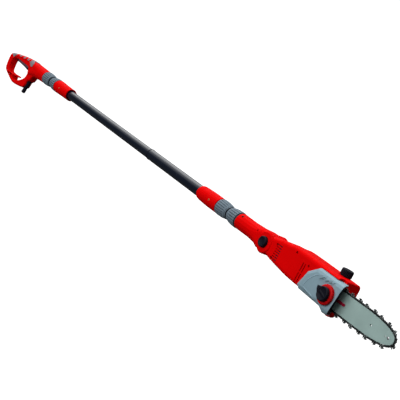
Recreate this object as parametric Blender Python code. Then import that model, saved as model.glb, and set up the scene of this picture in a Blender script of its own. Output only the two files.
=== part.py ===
"""Telescoping electric pole saw, built from its separate pieces.

Lengths below are millimetres. Stations (x) run along the pole from the rear of the
handle to the tip of the guide bar, y is across the pole with the sprocket cover on
the -y side, and z is up, with zero on the pole's axis. An empty named pole_saw moves
this layout so that the frame's origin is the bottom centre of the whole saw.
"""
import math

import bmesh
import bpy
from mathutils import Matrix, Vector

MM = 0.001
GAP = 0.3                    # clearance between pieces that meet
STEPS = 24                   # facets round a large turned piece
SMALL_STEPS = 12             # facets round a small turned piece
OPEN_END = 60.0              # distance that puts the end of a cutter well outside its piece
# The half shells meet many cutters whose faces touch. EXACT leaves edges open there.
SHELLS = ("handle", "neck", "motor_housing", "housing", "plate")

# handle
HANDLE_HALF = 14.0
NOSE_X = 333.0
NOSE_R = 22.5
TRIGGER_PIVOT = (62.0, 1.0)
PIVOT_PIN_R = 2.0
LOCKOFF = (204.0, -9.0)
LOCKOFF_R = 5.9
BOOT_TOP = (221.0, -38.0)
BOOT_TILT = math.radians(16.0)
BOOT_LENGTH = 62.0
BOOT_R = 7.4
BOOT_END_R = 6.2
CORD_R = 4.5                 # hole that the cord goes into
HANDLE_REAR = -5.0

# couplings
PLUG_R = 17.0
COLLAR_BORE = PLUG_R + 0.4
REAR_NUT = (NOSE_X + GAP, 384.5)
REAR_COLLAR = (391.0, 438.7)
REAR_SLEEVE = (439.0, 545.0)
FRONT_SLEEVE = (1437.0, 1538.0)
FRONT_COLLAR = (1538.3, 1585.5)
FRONT_NUT = (1590.5, 1635.5)
SCREW_R = 2.6
PIN_R = 2.0
PIN_SPACING = 12.0

# tubes
INNER_TUBE_R = 15.0
OUTER_TUBE_R = 16.0
OUTER_TUBE_BORE = 15.3
INNER_TUBE = (446.0, 1228.0)
OUTER_TUBE = (1141.0, 1533.0)

# neck and tilt hinge
NECK_X = 1639.0
NECK_R = 21.9
PIVOT = (1782.0, -1.0)
DISC_R = 28.0
FORK_INNER = 20.5
FORK_OUTER = 30.0

# motor head
WALL = 3.0
HEAD_END = 2067.0
HEAD_HALF = 34.0
DRIVE_Z = -9.0
SPINDLE_X = 2000.0
BAR_Y = -18.0
BAR_THICK = 4.2
BAR_HALF = 24.0
BAR_REAR = 2032.0
BAR_TIP = 2259.0
NOSE_CENTRE_X = 2241.0
STUD_X = 2058.0
MOUNT_Y = -14.0              # plane that the guide bar is clamped against
COVER_Y = -45.0
STRIP_DEPTH = 4.6             # along the pole, of the black strip that closes the cover's front
LIP_THICK = 1.3               # of the cover's face where it runs on over the strip
RING_THICK = 7.5
KNOB_FACE = COVER_Y - 2 * GAP - RING_THICK   # where the knob meets the tension ring
KNOB_THICK = 8.5
KNOB_Y = KNOB_FACE - KNOB_THICK
CHAIN_DEPTH = 8.5
CAP_CENTRE = (2025.0, 14.0)
HEAD_TOP = 37.0

SHAFT_R = 4.0
SPINDLE_R = 5.0
BEARING_R = 8.0
STATOR_R = 20.0
STUD_R = 4.0
BUTTON_R = 14.1
BUTTON_STEM_R = 6.2
HINGE_PIN_R = 5.0
FILLER_R = 9.4
CASE_SCREW_HEAD_R = 2.8
CASE_SCREW_R = 1.5
HEAD_SCREW_SEAT = -25.0
HEAD_SCREW_END = 14.7

# case screws: (x, z) in the motor housing; (x, z, seat, end) in the neck
HEAD_SCREWS = [(1831.0, 15.0), (1831.0, -20.0), (1904.0, 27.0), (1957.0, 17.0)]
NECK_SCREWS = [(1652.0, 15.5, -12.0, 9.0), (1736.0, 12.0, -14.5, 14.7)]

# bottom centre of the whole saw, in the pole's own coordinates
CENTRE_X = (HANDLE_REAR + BAR_TIP + CHAIN_DEPTH) / 2
CENTRE_Y = (KNOB_Y + HEAD_HALF) / 2
LOWEST_Z = BOOT_TOP[1] - BOOT_LENGTH * math.cos(BOOT_TILT) - BOOT_END_R * math.sin(BOOT_TILT)

RED = (0.72, 0.005, 0.008)
GREY = (0.26, 0.33, 0.37)
COVER_GREY = (0.34, 0.44, 0.48)
BLACK = (0.012, 0.013, 0.018)
STEEL = (0.42, 0.44, 0.45)
COPPER = (0.65, 0.26, 0.1)
BRASS = (0.70, 0.46, 0.15)


# ---------------------------------------------------------------- helpers

def clear_scene():
    for old in list(bpy.data.objects):
        bpy.data.objects.remove(old, do_unlink=True)


def make_material(name, colour, roughness, metallic=0.0):
    material = bpy.data.materials.get(name) or bpy.data.materials.new(name)
    material.use_nodes = True
    shader = material.node_tree.nodes["Principled BSDF"]
    shader.inputs["Base Color"].default_value = (*colour, 1.0)
    shader.inputs["Roughness"].default_value = roughness
    shader.inputs["Metallic"].default_value = metallic
    return material


def place(name, bm, pivot=(0.0, 0.0, 0.0), smooth=40.0):
    """Turn a bmesh in millimetres into an object whose origin is at pivot."""
    bmesh.ops.recalc_face_normals(bm, faces=bm.faces)
    bmesh.ops.transform(bm, matrix=Matrix.Scale(MM, 4), verts=bm.verts)
    centre = Vector(pivot) * MM
    bmesh.ops.translate(bm, vec=-centre, verts=bm.verts)
    mesh = bpy.data.meshes.new(name)
    bm.to_mesh(mesh)
    bm.free()
    mesh.shade_smooth()
    mesh.set_sharp_from_angle(angle=math.radians(smooth))
    piece = bpy.data.objects.new(name, mesh)
    piece.location = centre
    bpy.context.collection.objects.link(piece)
    piece.parent = bpy.data.objects["pole_saw"]
    return piece


def paint(piece, colour, roughness, metallic=0.0):
    piece.data.materials.append(make_material(piece.name, colour, roughness, metallic))
    return piece


def as_guide(piece):
    piece.hide_render = True
    piece.display_type = "WIRE"
    return piece


def combine(piece, operation, *others):
    for other in others:
        step = piece.modifiers.new(operation.lower(), "BOOLEAN")
        step.operation = operation
        step.solver = "MANIFOLD" if piece.name.startswith(SHELLS) else "EXACT"
        step.object = as_guide(other)
    return piece


def cut(piece, *cutters):
    return combine(piece, "DIFFERENCE", *cutters)


def join(piece, *others):
    return combine(piece, "UNION", *others)


def keep_inside(piece, *others):
    return combine(piece, "INTERSECT", *others)


def block(name, low, high, pivot=(0.0, 0.0, 0.0)):
    bm = bmesh.new()
    bmesh.ops.create_cube(bm, size=1.0)
    size = Vector(high) - Vector(low)
    middle = (Vector(high) + Vector(low)) / 2
    bmesh.ops.scale(bm, vec=size, verts=bm.verts)
    bmesh.ops.translate(bm, vec=middle, verts=bm.verts)
    return place(name, bm, pivot)


def turned(name, profile, axis="X", centre=(0.0, 0.0, 0.0), steps=STEPS, pivot=None, tilt=None):
    """Spin a profile of (along, radius) points; one that leaves the axis is closed on itself."""
    bm = bmesh.new()
    verts = [bm.verts.new((along, 0.0, radius)) for along, radius in profile]
    pairs = list(zip(verts, verts[1:]))
    if profile[0][1] > 0.0:
        pairs.append((verts[-1], verts[0]))
    edges = [bm.edges.new(pair) for pair in pairs]
    bmesh.ops.spin(bm, geom=verts + edges, cent=(0, 0, 0), axis=(1, 0, 0),
                   angle=2 * math.pi, steps=steps, use_merge=True)
    bmesh.ops.remove_doubles(bm, verts=bm.verts, dist=0.0005)
    turn = {"X": Matrix.Identity(4),
            "Y": Matrix.Rotation(math.pi / 2, 4, "Z"),
            "Z": Matrix.Rotation(-math.pi / 2, 4, "Y")}[axis]
    if tilt is not None:
        turn = tilt @ turn
    bmesh.ops.transform(bm, matrix=Matrix.Translation(centre) @ turn, verts=bm.verts)
    return place(name, bm, centre if pivot is None else pivot)


def tube(name, start, end, outer, bore, axis="X", centre=(0.0, 0.0, 0.0), steps=STEPS):
    profile = [(start, bore), (start, outer), (end, outer), (end, bore)]
    return turned(name, profile, axis, centre, steps)


def rod(name, start, end, radius, axis="X", centre=(0.0, 0.0, 0.0), steps=SMALL_STEPS):
    profile = [(start, 0.0), (start, radius), (end, radius), (end, 0.0)]
    return turned(name, profile, axis, centre, steps)


def smooth_outline(points, parts=2):
    """Closed Catmull-Rom curve through the points."""
    count = len(points)
    result = []
    for i in range(count):
        a, b, c, d = (Vector(points[(i + k - 1) % count]) for k in range(4))
        for k in range(parts):
            t = k / parts
            result.append(0.5 * (2 * b + (c - a) * t + (2 * a - 5 * b + 4 * c - d) * t ** 2
                                 + (3 * b - a - 3 * c + d) * t ** 3))
    return result


def grown(outline, amount):
    """Move each point of an outline outward; the outline runs anticlockwise in x and z."""
    count = len(outline)
    moved = []
    for i in range(count):
        before, point, after = (Vector(outline[(i + k) % count]) for k in (-1, 0, 1))
        first = (point - before).normalized()
        second = (after - point).normalized()
        normal = Vector((first.y + second.y, -first.x - second.x)).normalized()
        stretch = 1.0 / max(0.5, normal.dot(Vector((second.y, -second.x))))
        moved.append(point + normal * amount * stretch)
    return moved


def slab(name, outline, layers, pivot=(0.0, 0.0, 0.0)):
    """Stack an x-z outline along y; each layer is (y, how much the outline grows there)."""
    bm = bmesh.new()
    rings = []
    for y, grow in layers:
        ring = grown(outline, grow) if grow else [Vector(point) for point in outline]
        rings.append([bm.verts.new((point.x, y, point.y)) for point in ring])
    count = len(outline)
    for low, high in zip(rings, rings[1:]):
        for i in range(count):
            bm.faces.new((low[i], low[(i + 1) % count], high[(i + 1) % count], high[i]))
    bm.faces.new(rings[0])
    bm.faces.new(list(reversed(rings[-1])))
    return place(name, bm, pivot)


def rounded_section(x, half_y, low_z, high_z, radius, parts=4):
    """One ring of a loft: a rectangle across the pole with round corners."""
    points = []
    corners = [(half_y, high_z, 0), (-half_y, high_z, 90), (-half_y, low_z, 180), (half_y, low_z, 270)]
    for y, z, start in corners:
        centre_y = y - radius if y > 0 else y + radius
        centre_z = z - radius if z == high_z else z + radius
        for k in range(parts + 1):
            angle = math.radians(start + 90.0 * k / parts)
            points.append((x, centre_y + radius * math.cos(angle), centre_z + radius * math.sin(angle)))
    return points


def loft(name, sections):
    bm = bmesh.new()
    rings = [[bm.verts.new(point) for point in section] for section in sections]
    count = len(rings[0])
    for low, high in zip(rings, rings[1:]):
        for i in range(count):
            bm.faces.new((low[i], low[(i + 1) % count], high[(i + 1) % count], high[i]))
    bm.faces.new(list(reversed(rings[0])))
    bm.faces.new(rings[-1])
    return place(name, bm)


def halves(base, form, low_x, high_x, reach):
    """Two blocks either side of the split plane, each trimmed to the same outer form."""
    left = block(base + "_left", (low_x, -reach, -reach * 3), (high_x, -GAP / 2, reach * 3))
    right = block(base + "_right", (low_x, GAP / 2, -reach * 3), (high_x, reach, reach * 3))
    for half in (left, right):
        keep_inside(half, form)
    return left, right


def toothed(name, inner, outer, teeth, start, end, axis, centre, bore):
    """Gear or fan: a toothed outline, extruded along its axis, with a round bore."""
    bm = bmesh.new()
    ring = []
    for i in range(teeth):
        for share, radius in ((0.0, inner), (0.2, outer), (0.5, outer), (0.7, inner)):
            angle = 2 * math.pi * (i + share) / teeth
            ring.append(bm.verts.new((start, radius * math.cos(angle), radius * math.sin(angle))))
    face = bm.faces.new(ring)
    grown_part = bmesh.ops.extrude_face_region(bm, geom=[face])
    moved = [item for item in grown_part["geom"] if isinstance(item, bmesh.types.BMVert)]
    bmesh.ops.translate(bm, vec=(end - start, 0, 0), verts=moved)
    turn = Matrix.Identity(4) if axis == "X" else Matrix.Rotation(math.pi / 2, 4, "Z")
    bmesh.ops.transform(bm, matrix=Matrix.Translation(centre) @ turn, verts=bm.verts)
    gear = place(name, bm, centre)
    return cut(gear, rod(name + "_bore", start - 1, end + 1, bore, axis, centre))


# ---------------------------------------------------------------- handle

LOOP_OUTER = [(0, -2), (HANDLE_REAR, -20), (-2, -44), (9, -65), (56, -79), (104, -90), (150, -88),
              (186, -84), (206, -79), (214, -68), (216, -56), (222, -50), (231, -46), (237, -37),
              (246, -26), (282, -18), (284, 0), (270, 19), (212, 23), (160, 20.5), (110, 16.5),
              (60, 10), (20, 4)]
LOOP_INNER = [(30, -13), (24, -28), (26, -48), (36, -59), (70, -61), (111, -59), (112, -64.5),
              (92, -66), (90, -75.5), (108, -78), (134, -74), (166, -62), (190, -46), (195, -28),
              (182, -8), (120, -5), (60, -5)]
NOSE = [(164, 12.5, -16, 17.5, 8), (205, 17.5, -34, 22.8, 11), (240, 21.5, -27, 23.6, 17),
        (275, 23, -24.5, 23.4, 20), (NOSE_X, NOSE_R, -NOSE_R, NOSE_R, NOSE_R - 0.05)]
PAD_REACH = [(10, 40), (12, 3), (24, -4), (30, -8), (38, -6.5), (46, 1), (58, 5), (100, 9), (150, 12),
             (180, 12), (196, 6), (208, 2), (220, 3), (225, 10), (222, 18), (210, 22), (206, 26), (206, 40)]
CORD_SLOT = [(40, -63.5), (38, -70.5), (82, -75), (82, -64.5)]


def handle_skin(outline, growth):
    """The outside of the handle moved outward, as a solid."""
    side = HANDLE_HALF + growth
    shoulder = HANDLE_HALF - 1.5
    flat = HANDLE_HALF - 5
    skin = slab("handle_skin", outline, [(-side, growth - 5), (-shoulder, growth - 1.5), (-flat, growth),
                                         (flat, growth), (shoulder, growth - 1.5), (side, growth - 5)])
    sections = [rounded_section(x, half + growth, low - growth, high + growth, radius)
                for x, half, low, high, radius in NOSE]
    return join(skin, loft("nose_skin", sections))


def make_handle():
    hole_layers = [(-HANDLE_HALF - 6, 3.5), (-HANDLE_HALF - 1, 3.5), (-HANDLE_HALF + 1.2, 1.2),
                   (-HANDLE_HALF + 4, 0), (HANDLE_HALF - 4, 0), (HANDLE_HALF - 1.2, 1.2),
                   (HANDLE_HALF + 1, 3.5), (HANDLE_HALF + 6, 3.5)]
    outer = smooth_outline(LOOP_OUTER)
    form = handle_skin(outer, 0.0)
    straight = [(-HANDLE_HALF - 8, 0), (HANDLE_HALF + 8, 0)]
    boot_hole = rod("boot_hole", -50, 2, BOOT_R + 0.5, "Z", (BOOT_TOP[0], 0, BOOT_TOP[1]))
    boot_hole.rotation_euler.y = BOOT_TILT
    cutters = [
        boot_hole,
        slab("finger_hole", smooth_outline(LOOP_INNER), hole_layers),
        slab("cord_slot", CORD_SLOT, straight),
        block("trigger_pocket", (50, -7.3, -20), (182, 7.3, 9)),
        block("switch_pocket", (118, -10, 3), (168, 10, 15.5)),
        rod("nose_bore", 250, NOSE_X + 5, COLLAR_BORE, steps=STEPS),
        block("clamp_pocket", (209.5, -10.2, -44), (231, 10.2, -27)),
        rod("pivot_bore", -12, 12, PIVOT_PIN_R + GAP, "Y", (TRIGGER_PIVOT[0], 0, TRIGGER_PIVOT[1])),
        rod("lockoff_bore", -2, OPEN_END, LOCKOFF_R + 0.4, "Y", (LOCKOFF[0], 0, LOCKOFF[1])),
    ]
    left, right = halves("handle_shell", form, -12, NOSE_X + 4, 32)
    for shell in (left, right):
        cut(shell, *cutters)
        paint(shell, RED, 0.35)

    pad = slab("grip_pad", smooth_outline(PAD_REACH), [(-26, 0), (26, 0)])
    keep_inside(pad, handle_skin(outer, 1.6))
    cut(pad, handle_skin(outer, GAP))
    paint(pad, GREY, 0.7)


def make_trigger():
    pivot = (TRIGGER_PIVOT[0], 0, TRIGGER_PIVOT[1])
    outline = smooth_outline([(55, 3), (53, -8), (60, -13), (100, -15), (140, -17), (168, -20),
                              (173, -14), (172, -1), (120, -1), (80, 0), (68, 5), (60, 7)])
    trigger = slab("trigger", outline, [(-6.5, -1.5), (-5, 0), (5, 0), (6.5, -1.5)], pivot)
    cut(trigger, rod("trigger_bore", -8, 8, PIVOT_PIN_R + GAP, "Y", pivot))
    paint(trigger, BLACK, 0.4)
    paint(rod("trigger_pin", -11.7, 11.7, PIVOT_PIN_R, "Y", pivot), STEEL, 0.3, 1.0)
    switch = block("trigger_switch", (120, -9.5, 9.4), (166, 9.5, 15.2))
    paint(switch, BLACK, 0.5)
    profile = [(5, 0), (5, LOCKOFF_R), (19.2, LOCKOFF_R), (20.6, LOCKOFF_R - 1.5), (20.6, 0)]
    button = turned("lockoff_button", profile, "Y", (LOCKOFF[0], 0, LOCKOFF[1]), SMALL_STEPS)
    paint(button, BLACK, 0.45)


def make_cord_entry():
    lean = Matrix.Rotation(BOOT_TILT, 4, "Y")
    rib = BOOT_R - 0.2
    waist = BOOT_R - 1.0
    profile = [(4, 0), (4, 9.2), (0.5, 9.2), (0.5, BOOT_R), (-14, BOOT_R)]
    for start in (-18, -26, -34, -42):
        profile += [(start + 2, rib), (start, waist), (start - 3, waist), (start - 4, rib)]
    profile += [(-BOOT_LENGTH + 2.5, BOOT_R), (-BOOT_LENGTH, BOOT_END_R), (-BOOT_LENGTH, CORD_R),
                (-BOOT_LENGTH + 12, CORD_R), (-BOOT_LENGTH + 12, 0)]
    boot = turned("cord_boot", profile, "Z", (BOOT_TOP[0], 0, BOOT_TOP[1]), SMALL_STEPS, tilt=lean)
    paint(boot, BLACK, 0.6)
    paint(block("cord_clamp", (211, -8, -30.5), (230, 8, -28.5)), BLACK, 0.5)


# ---------------------------------------------------------------- couplings and tubes

def ribbed_collar(name, stations, wide_end, radii, colour=GREY):
    """Barrel-shaped ring whose narrow end faces the joint between the two collars."""
    start, end = stations
    wide, narrow = radii
    profile = [(0.0, wide - 0.7), (0.04, wide), (0.5, wide - 0.3), (0.88, narrow + 0.5), (1.0, narrow)]
    if wide_end == "front":
        profile = [(1.0 - share, radius) for share, radius in reversed(profile)]
    points = [(start + share * (end - start), radius) for share, radius in profile]
    collar = turned(name, [(start, COLLAR_BORE)] + points + [(end, COLLAR_BORE)])
    return paint(collar, colour, 0.6)


def connector(name, stations, pin_end, holes):
    """Round contact carrier; a plug has two pins and a socket has two holes for them."""
    start, end = stations
    body = turned(name, [(start, 0), (start, 11), (start + 2, PLUG_R), (end, PLUG_R), (end, 0)], steps=16)
    for side in (-PIN_SPACING / 2, PIN_SPACING / 2):
        if holes:
            cut(body, rod(name + "_hole", start - 1, pin_end, PIN_R + 0.4, "X", (0, side, 0)))
        else:
            join(body, rod(name + "_pin", end - 2, pin_end, PIN_R, "X", (0, side, 0)))
    return paint(body, BLACK, 0.5)


def sleeve_screw(name, x, radius):
    profile = [(-radius + 4.2, 0), (-radius + 4.2, 1.6), (-radius + 2.2, 1.6),
               (-radius + 2.2, SCREW_R), (-radius + 0.4, SCREW_R), (-radius + 0.4, 0)]
    screw = turned(name, list(reversed(profile)), "Y", (x, 0, 0), SMALL_STEPS)
    return paint(screw, BRASS, 0.35, 1.0)


def make_rear_coupling():
    ribbed_collar("rear_union_nut", REAR_NUT, "rear", (23.3, 19.6))
    ribbed_collar("rear_collar", REAR_COLLAR, "front", (22.6, 19.6))
    start, end = REAR_SLEEVE
    bore = INNER_TUBE_R + GAP
    sleeve = turned("rear_sleeve", [(start, bore), (start, 21.8), (start + 4, 22.6), (start + 18, 22.4),
                                    (start + 50, 21.4), (end, 20.9), (end, 18.6), (end - 22, 18.2),
                                    (end - 24, bore)])
    screw_x = 484.0
    cut(sleeve, rod("rear_screw_hole", -26, -16.7, SCREW_R + GAP, "Y", (screw_x, 0, 0)))
    paint(sleeve, RED, 0.35)
    sleeve_screw("rear_sleeve_screw", screw_x, 22.2)
    connector("rear_plug", (286, 388), 407, False)
    connector("rear_socket", (388 + GAP, 434), 409, True)


def make_tubes():
    paint(tube("inner_tube", *INNER_TUBE, INNER_TUBE_R, INNER_TUBE_R - 1.0, steps=32), BLACK, 0.3, 0.6)
    paint(tube("outer_tube", *OUTER_TUBE, OUTER_TUBE_R, OUTER_TUBE_BORE, steps=32), BLACK, 0.3, 0.6)
    mouth = OUTER_TUBE[0]
    ring = turned("tube_end_ring", [(mouth - 4.5, OUTER_TUBE_BORE), (mouth - 4.5, 16.0),
                                    (mouth - 3.5, 16.6), (mouth - GAP, 16.6),
                                    (mouth - GAP, OUTER_TUBE_BORE)], steps=32)
    paint(ring, BLACK, 0.6)
    bush_start = INNER_TUBE[1] + GAP
    bush = turned("lock_bush", [(bush_start, 9), (bush_start, 14.9), (bush_start + 26, 14.9),
                                (bush_start + 31, 12.5), (bush_start + 31, 9)], steps=16)
    paint(bush, BLACK, 0.5)
    paint(rod("spiral_cable", 450, 1186, 8.5), BLACK, 0.6)


def make_front_coupling():
    start, end = FRONT_SLEEVE
    bore = OUTER_TUBE_R + GAP
    sleeve = turned("front_sleeve", [(start, bore), (start, 17.4), (start + 3, 19.4), (start + 12, 20.6),
                                     (start + 45, 21.7), (start + 68, 22.0), (end, 21.6), (end, bore)])
    screw_x = 1506.0
    cut(sleeve, rod("front_screw_hole", -26, -17.7, SCREW_R + GAP, "Y", (screw_x, 0, 0)))
    paint(sleeve, RED, 0.35)
    sleeve_screw("front_sleeve_screw", screw_x, 22.4)
    ribbed_collar("front_collar", FRONT_COLLAR, "rear", (22.2, 19.2))
    ribbed_collar("front_union_nut", FRONT_NUT, "front", (22.6, 19.2))
    connector("front_plug", (1539, 1588), 1604, False)
    connector("front_socket", (1588 + GAP, 1646.5), 1606, True)


# ---------------------------------------------------------------- neck and tilt hinge

def case_screw(name, centre, seat, end):
    """Screw along y whose head rests on seat; returns it painted."""
    head = seat - GAP
    top = head - 2.7
    profile = [(top, 0), (top, CASE_SCREW_HEAD_R), (head, CASE_SCREW_HEAD_R), (head, CASE_SCREW_R),
               (end, CASE_SCREW_R), (end, 0)]
    screw = turned(name, profile, "Y", centre, 10)
    return paint(screw, STEEL, 0.35, 1.0)


def case_screw_holes(centre, seat, end):
    return [rod("screw_recess", -OPEN_END, seat, CASE_SCREW_HEAD_R + GAP, "Y", centre, 10),
            rod("screw_bore", seat - 1, end + GAP, CASE_SCREW_R + GAP, "Y", centre, 10)]


def make_neck():
    pivot = (PIVOT[0], 0, PIVOT[1])
    round_corner = NECK_R - 0.05
    form = loft("neck_form", [
        rounded_section(NECK_X, NECK_R, -NECK_R, NECK_R, round_corner),
        rounded_section(1695, 21.6, -21.6, 21.6, 21.5),
        rounded_section(1730, 24.5, -22.8, 22.4, 19),
        rounded_section(1752, FORK_OUTER - 1, -25.5, 24.5, 13),
        rounded_section(1772, FORK_OUTER - 1, -25.5, 24.5, 13)])
    disc_profile = [(-FORK_OUTER, 0), (-FORK_OUTER, DISC_R - 3), (-FORK_OUTER + 3, DISC_R),
                    (FORK_OUTER - 3, DISC_R), (FORK_OUTER, DISC_R - 3), (FORK_OUTER, 0)]
    join(form, turned("neck_discs", disc_profile, "Y", pivot))
    cutters = [
        rod("knuckle_room", -FORK_INNER, FORK_INNER, DISC_R + 1, "Y", pivot, STEPS),
        block("fork_room", (PIVOT[0], -FORK_INNER, -60), (PIVOT[0] + 60, FORK_INNER, 60)),
        rod("socket_bore", NECK_X - 3, 1647.5, COLLAR_BORE, steps=STEPS),
        rod("neck_cable_way", 1640, 1760, 12),
        rod("button_bore", -OPEN_END, -FORK_INNER + 2, BUTTON_R + 0.5, "Y", pivot, STEPS),
        rod("hinge_pin_bore", FORK_INNER - 2, 40, HINGE_PIN_R + GAP, "Y", pivot),
        rod("hinge_pin_recess", 26.7, 40, 9.5, "Y", pivot),
    ]
    for index, (x, z, seat, end) in enumerate(NECK_SCREWS, 1):
        centre = (x, 0, z)
        cutters += case_screw_holes(centre, seat, end)
        case_screw("neck_screw_%d" % index, centre, seat, end)
    left, right = halves("neck_shell", form, NECK_X - 4, PIVOT[0] + DISC_R + 1, 34)
    for shell in (left, right):
        cut(shell, *cutters)
        paint(shell, RED, 0.35)
    button = turned("tilt_button", [(-37.5, 0), (-37.3, 7), (-38.2, 11.5), (-37, 13.4), (-34.5, BUTTON_R),
                                    (-22, BUTTON_R), (-22, BUTTON_STEM_R), (-9, BUTTON_STEM_R), (-9, 0)],
                    "Y", pivot)
    paint(button, BLACK, 0.4)
    profile = [(0, 0), (0, HINGE_PIN_R), (27.0, HINGE_PIN_R), (27.0, 9.1), (29.2, 9.1), (29.2, 0)]
    pin = turned("tilt_pin", profile, "Y", pivot, 16)
    paint(pin, STEEL, 0.35, 1.0)


# ---------------------------------------------------------------- motor head

HOUSING = [(1796, 27, -24.0, 23.0, 9), (1816, 31, -26.5, 26.8, 10), (1842, 33, -29.5, 32.2, 10),
           (1870, HEAD_HALF, -32.3, 34.8, 10), (1884, HEAD_HALF, -34.0, 37.8, 10),
           (1900, HEAD_HALF, -35.5, 38.6, 10), (1934, HEAD_HALF, -37.0, 38.8, 10),
           (1990, HEAD_HALF, -37.4, 38.4, 10), (2012, HEAD_HALF, -37.4, 37.3, 10),
           (2048, HEAD_HALF, -37.4, HEAD_TOP, 10), (HEAD_END - 2, HEAD_HALF - 1, -36.5, HEAD_TOP - 0.4, 9),
           (HEAD_END, HEAD_HALF - 3, -34.5, HEAD_TOP - 2.4, 7)]
COVER_OUTLINE = [(1968, 9), (1955, -30), (1965, -38), (2046, -41), (2062, -48.5), (2096, -45.5),
                 (2106, 30), (1997, 31)]
COVER_FRONT = [(2081.5, -60), (2082.5, -45), (2085.5, -22), (2087.5, -4), (2089.5, 14), (2093, 32),
               (2096, 45)]
FRONT_SLANT = 0.6             # how far the cover's front runs back for each step towards the bar
COVER_ROOM = [(1967.2, 9.2), (1954, -30.2), (1964.6, -38.8), (2045.8, -41.8), (2056, -47), (2056, -80),
              (2120, -80), (2120, 80), (2056, 80), (2056, 31.8), (1996.5, 31.8)]
LIP_OUTLINE = [(2030, -30), (2034, -44), (2045, -53), (2058, -54), (2066, -46), (2063, -30)]
BAYS = [(1818, 1824), (1838, 1886), (1890, 1924), (1928, 1950), (1962, 2064)]


def inner_section(x, inset=WALL):
    """The housing's section at x, moved inward."""
    for first, second in zip(HOUSING, HOUSING[1:]):
        if first[0] <= x <= second[0]:
            share = (x - first[0]) / (second[0] - first[0])
            _, half, low, high, radius = (a + (b - a) * share for a, b in zip(first, second))
            return rounded_section(x, half - inset, low + inset, high - inset, radius - inset, 2)
    raise ValueError("station outside the housing: %s" % x)


def bay(name, start, end, inset=WALL):
    between = [row[0] for row in HOUSING if start < row[0] < end]
    return loft(name, [inner_section(x, inset) for x in [start] + between + [end]])


def vent_cutters():
    slots = []
    for index in range(7):
        z = 16.0 - 6.0 * index
        for low, high in ((-40, -28), (28, 40)):
            slots.append(block("rear_vent", (1833, low, z - 1.3), (1853, high, z + 1.3)))
    for x in (1938.5, 1946.5):
        for low, high in ((-29.5, -8.0), (-5.0, 16.5)):
            slots.append(block("front_vent", (x - 1.5, -40, low), (x + 1.5, 40, high)))
    return slots


def make_housing():
    pivot = (PIVOT[0], 0, PIVOT[1])
    form = loft("housing_form", [rounded_section(*row) for row in HOUSING])
    cut(form, rod("near_disc_room", -OPEN_END, -FORK_INNER + GAP, DISC_R + 1, "Y", pivot, STEPS),
        rod("far_disc_room", FORK_INNER - GAP, OPEN_END, DISC_R + 1, "Y", pivot, STEPS))
    half = FORK_INNER - 0.4
    knuckle = [(-half, 0), (-half, DISC_R - 1), (-half + 2, DISC_R), (half - 2, DISC_R),
               (half, DISC_R - 1), (half, 0)]
    join(form, turned("knuckle", knuckle, "Y", pivot),
         slab("lower_lip", smooth_outline(LIP_OUTLINE), [(-13, -2), (-11, 0), (2, 0), (4, -2)]))
    bosses = []
    holes = []
    for index, (x, z) in enumerate(HEAD_SCREWS, 1):
        centre = (x, 0, z)
        bosses.append(rod("screw_boss", -31.5, 31.5, 6.2, "Y", centre, 10))
        holes += case_screw_holes(centre, HEAD_SCREW_SEAT, HEAD_SCREW_END)
        case_screw("head_screw_%d" % index, centre, HEAD_SCREW_SEAT, HEAD_SCREW_END)
    drive = (0, 0, DRIVE_Z)
    spindle = (SPINDLE_X, 0, DRIVE_Z)
    rest = [
        rod("bearing_seats", 1826, 1970, BEARING_R + GAP, "X", drive, 16),
        rod("stator_seat", 1880, 1934, STATOR_R + GAP, "X", drive, STEPS),
        rod("button_room", -OPEN_END, -16.5, BUTTON_R + 0.5, "Y", pivot, STEPS),
        rod("button_stem_bore", -20, 40, BUTTON_STEM_R + 0.5, "Y", pivot),
        rod("cable_way", 1770, 1840, 5.0, "X", (0, 0, PIVOT[1]), 12),
        rod("filler_hole", 20, OPEN_END, FILLER_R + 0.4, "Z", (*CAP_CENTRE, 0), STEPS),
        rod("spindle_hole", -40, 0, 8.0, "Y", spindle),
        rod("spindle_seat", 10, 31.2, 11.3, "Y", spindle, 16),
        rod("stud_hole", -40, 0, STUD_R + GAP, "Y", (STUD_X, 0, DRIVE_Z)),
    ]
    cover_room = slab("cover_room", COVER_ROOM, [(-OPEN_END, 0), (MOUNT_Y, 0)])
    plate = block("plate", (1940, MOUNT_Y - 4, -OPEN_END), (2120, MOUNT_Y + 5, OPEN_END))
    keep_inside(plate, bay("plate_form", 1956, 2066, WALL / 2))
    cut(form, *(bay("bay", start, end) for start, end in BAYS))
    join(form, *bosses, rod("bearing_ring", 21, 32, 14.0, "Y", spindle, 16), plate)
    for shell in halves("motor_housing", form, 1740, 2090, 40):
        cut(shell, *holes, *rest, *vent_cutters(), cover_room)
        paint(shell, RED, 0.35)


def make_motor():
    drive = (0, 0, DRIVE_Z)
    stator_bore = 14.0
    commutator_r = 9.5
    core_r = stator_bore - 2 * GAP
    hub_r = 6.5
    bore = SHAFT_R + GAP
    paint(tube("motor_stator", 1884, 1930, STATOR_R, stator_bore, "X", drive), STEEL, 0.45, 1.0)
    profile = [(1826.5, 0), (1826.5, SHAFT_R), (1866, SHAFT_R), (1866, commutator_r), (1878, commutator_r),
               (1878, hub_r), (1884, hub_r), (1884, core_r), (1930, core_r), (1930, hub_r),
               (1933, SHAFT_R), (1984, SHAFT_R), (1984, 0)]
    paint(turned("motor_armature", profile, "X", drive, 16), COPPER, 0.4, 1.0)
    paint(toothed("cooling_fan", 12, 20, 10, 1935, 1947, "X", drive, bore), BLACK, 0.5)
    for name, start in (("rear_bearing", 1827), ("front_bearing", 1951.5)):
        paint(tube(name, start, start + 8, BEARING_R, bore, "X", drive, 16), STEEL, 0.3, 1.0)
    paint(toothed("bevel_pinion", 5.6, 7.0, 8, 1966, 1980, "X", drive, bore), STEEL, 0.35, 1.0)


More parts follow.
